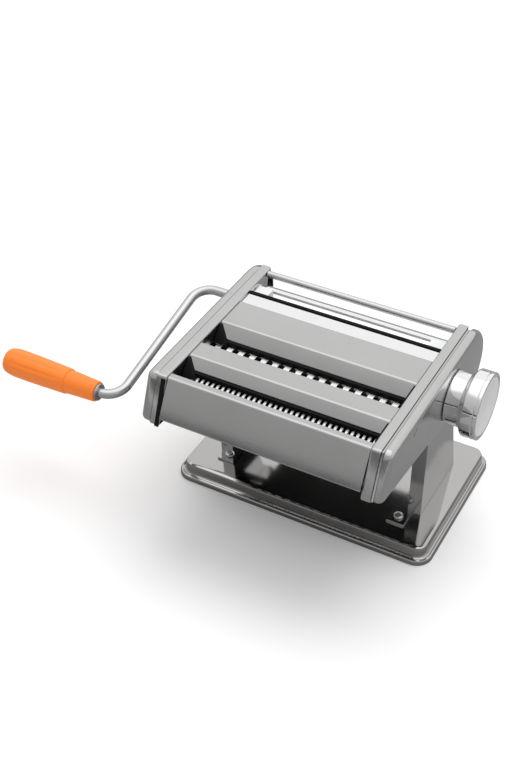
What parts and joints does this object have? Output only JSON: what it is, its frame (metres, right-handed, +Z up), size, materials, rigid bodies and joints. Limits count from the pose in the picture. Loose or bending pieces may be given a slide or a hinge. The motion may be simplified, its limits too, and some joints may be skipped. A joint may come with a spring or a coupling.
{
  "type": "pasta maker",
  "caption": "Hand cranked pasta maker on a stamped steel base: sheeting rollers with a thickness knob, a wide and a narrow cutter pair, and a lift-out crank with an orange grip.",
  "frame": {"origin": "middle of the base's underside", "axes": "+X along the rollers towards the thickness knob, +Y towards the rear tie rod, +Z up"},
  "size_m": [0.3545, 0.198, 0.1462],
  "materials": {
    "polished_steel": "polished",
    "satin_steel": "satin",
    "chrome": "mirror",
    "black_plastic": "matte",
    "grey_plastic": "satin",
    "orange_plastic": "satin",
    "black_rubber": "matte",
    "brass": "satin"
  },
  "bodies": {
    "frame": {"adjustable_roller_scraper": "satin_steel", "base_pad": "black_rubber", "base_plate": "polished_steel", "base_screw_1": "satin_steel", "base_screw_2": "satin_steel", "base_screw_3": "satin_steel", "base_screw_4": "satin_steel", "feed_lip": "black_plastic", "feed_plate": "chrome", "fixed_roller_scraper": "satin_steel", "front_comb": "satin_steel", "front_panel": "satin_steel", "front_tie_rod": "satin_steel", "left_feed_guide": "grey_plastic", "left_inner_cover": "polished_steel", "left_narrow_cheek": "black_plastic", "left_outer_cover": "polished_steel", "left_roller_bush": "brass", "left_side_plate": "satin_steel", "left_wide_cheek": "black_plastic", "middle_comb": "satin_steel", "middle_hood": "satin_steel", "rear_comb": "satin_steel", "rear_hood": "satin_steel", "rear_tie_rod": "polished_steel", "right_feed_guide": "grey_plastic", "right_inner_cover": "polished_steel", "right_narrow_cheek": "black_plastic", "right_outer_cover": "polished_steel", "right_roller_bush": "brass", "right_side_plate": "satin_steel", "right_wide_cheek": "black_plastic"},
    "fixed_roller": {"fixed_roller": "chrome", "fixed_roller_gear": "satin_steel"},
    "crank": {"crank_arm": "polished_steel", "grip_washer": "polished_steel"},
    "crank_grip": {"crank_grip": "orange_plastic", "grip_end_cap": "orange_plastic"},
    "carriage": {"adjustable_carriage": "satin_steel"},
    "adjustable_roller": {"adjustable_roller": "chrome", "adjustable_roller_gear": "satin_steel"},
    "regulator_shaft": {"regulator_shaft": "satin_steel", "knob_spring": "satin_steel"},
    "regulator_knob": {"regulator_knob": "chrome", "knob_cap": "grey_plastic"},
    "wide_rear_roll": {"wide_cutter_rear": "chrome", "wide_gear_rear": "satin_steel", "wide_drive_sleeve": "satin_steel"},
    "wide_front_roll": {"wide_cutter_front": "chrome", "wide_gear_front": "satin_steel"},
    "narrow_rear_roll": {"narrow_cutter_rear": "chrome", "narrow_gear_rear": "satin_steel", "narrow_drive_sleeve": "satin_steel"},
    "narrow_front_roll": {"narrow_cutter_front": "chrome", "narrow_gear_front": "satin_steel"}
  },
  "joints": [
    {"name": "fixed_roller_spin", "type": "hinge", "parent": "frame", "child": "fixed_roller", "pos_m": [0, 0.0245, 0.118], "axis": [1, 0, 0], "continuous": true},
    {"name": "crank_pull", "type": "slide", "parent": "fixed_roller", "child": "crank", "axis": [-1, 0, 0], "range_m": [0, 0.016]},
    {"name": "grip_spin", "type": "hinge", "parent": "crank", "child": "crank_grip", "pos_m": [0, -0.0985, 0.0909], "axis": [1, 0, 0], "continuous": true},
    {"name": "regulator_turn", "type": "hinge", "parent": "frame", "child": "regulator_shaft", "pos_m": [0, -0.0085, 0.118], "axis": [1, 0, 0], "range_deg": [0, 270]},
    {"name": "knob_pull", "type": "slide", "parent": "regulator_shaft", "child": "regulator_knob", "axis": [1, 0, 0], "range_m": [0, 0.005], "stiffness_N_per_m": 500, "springref_m": -0.003, "deforming": ["knob_spring"]},
    {"name": "carriage_slide", "type": "slide", "parent": "frame", "child": "carriage", "axis": [0, -1, 0], "range_m": [0, 0.0024]},
    {"name": "adjustable_roller_spin", "type": "hinge", "parent": "carriage", "child": "adjustable_roller", "pos_m": [0, -0.0085, 0.118], "axis": [1, 0, 0], "continuous": true},
    {"name": "wide_rear_spin", "type": "hinge", "parent": "frame", "child": "wide_rear_roll", "pos_m": [0, -0.0533, 0.122], "axis": [1, 0, 0], "continuous": true},
    {"name": "wide_front_spin", "type": "hinge", "parent": "frame", "child": "wide_front_roll", "pos_m": [0, -0.07165, 0.122], "axis": [1, 0, 0], "continuous": true},
    {"name": "narrow_rear_spin", "type": "hinge", "parent": "frame", "child": "narrow_rear_roll", "pos_m": [0, -0.0937, 0.1243], "axis": [1, 0, 0], "continuous": true},
    {"name": "narrow_front_spin", "type": "hinge", "parent": "frame", "child": "narrow_front_roll", "pos_m": [0, -0.11005, 0.1243], "axis": [1, 0, 0], "continuous": true}
  ],
  "couplings": [
    {"joint": "adjustable_roller_spin", "follows": "fixed_roller_spin", "ratio": -1},
    {"joint": "regulator_turn", "follows": "carriage_slide", "rad_per_m": 1964.6},
    {"joint": "wide_front_spin", "follows": "wide_rear_spin", "ratio": -1},
    {"joint": "narrow_front_spin", "follows": "narrow_rear_spin", "ratio": -1}
  ]
}
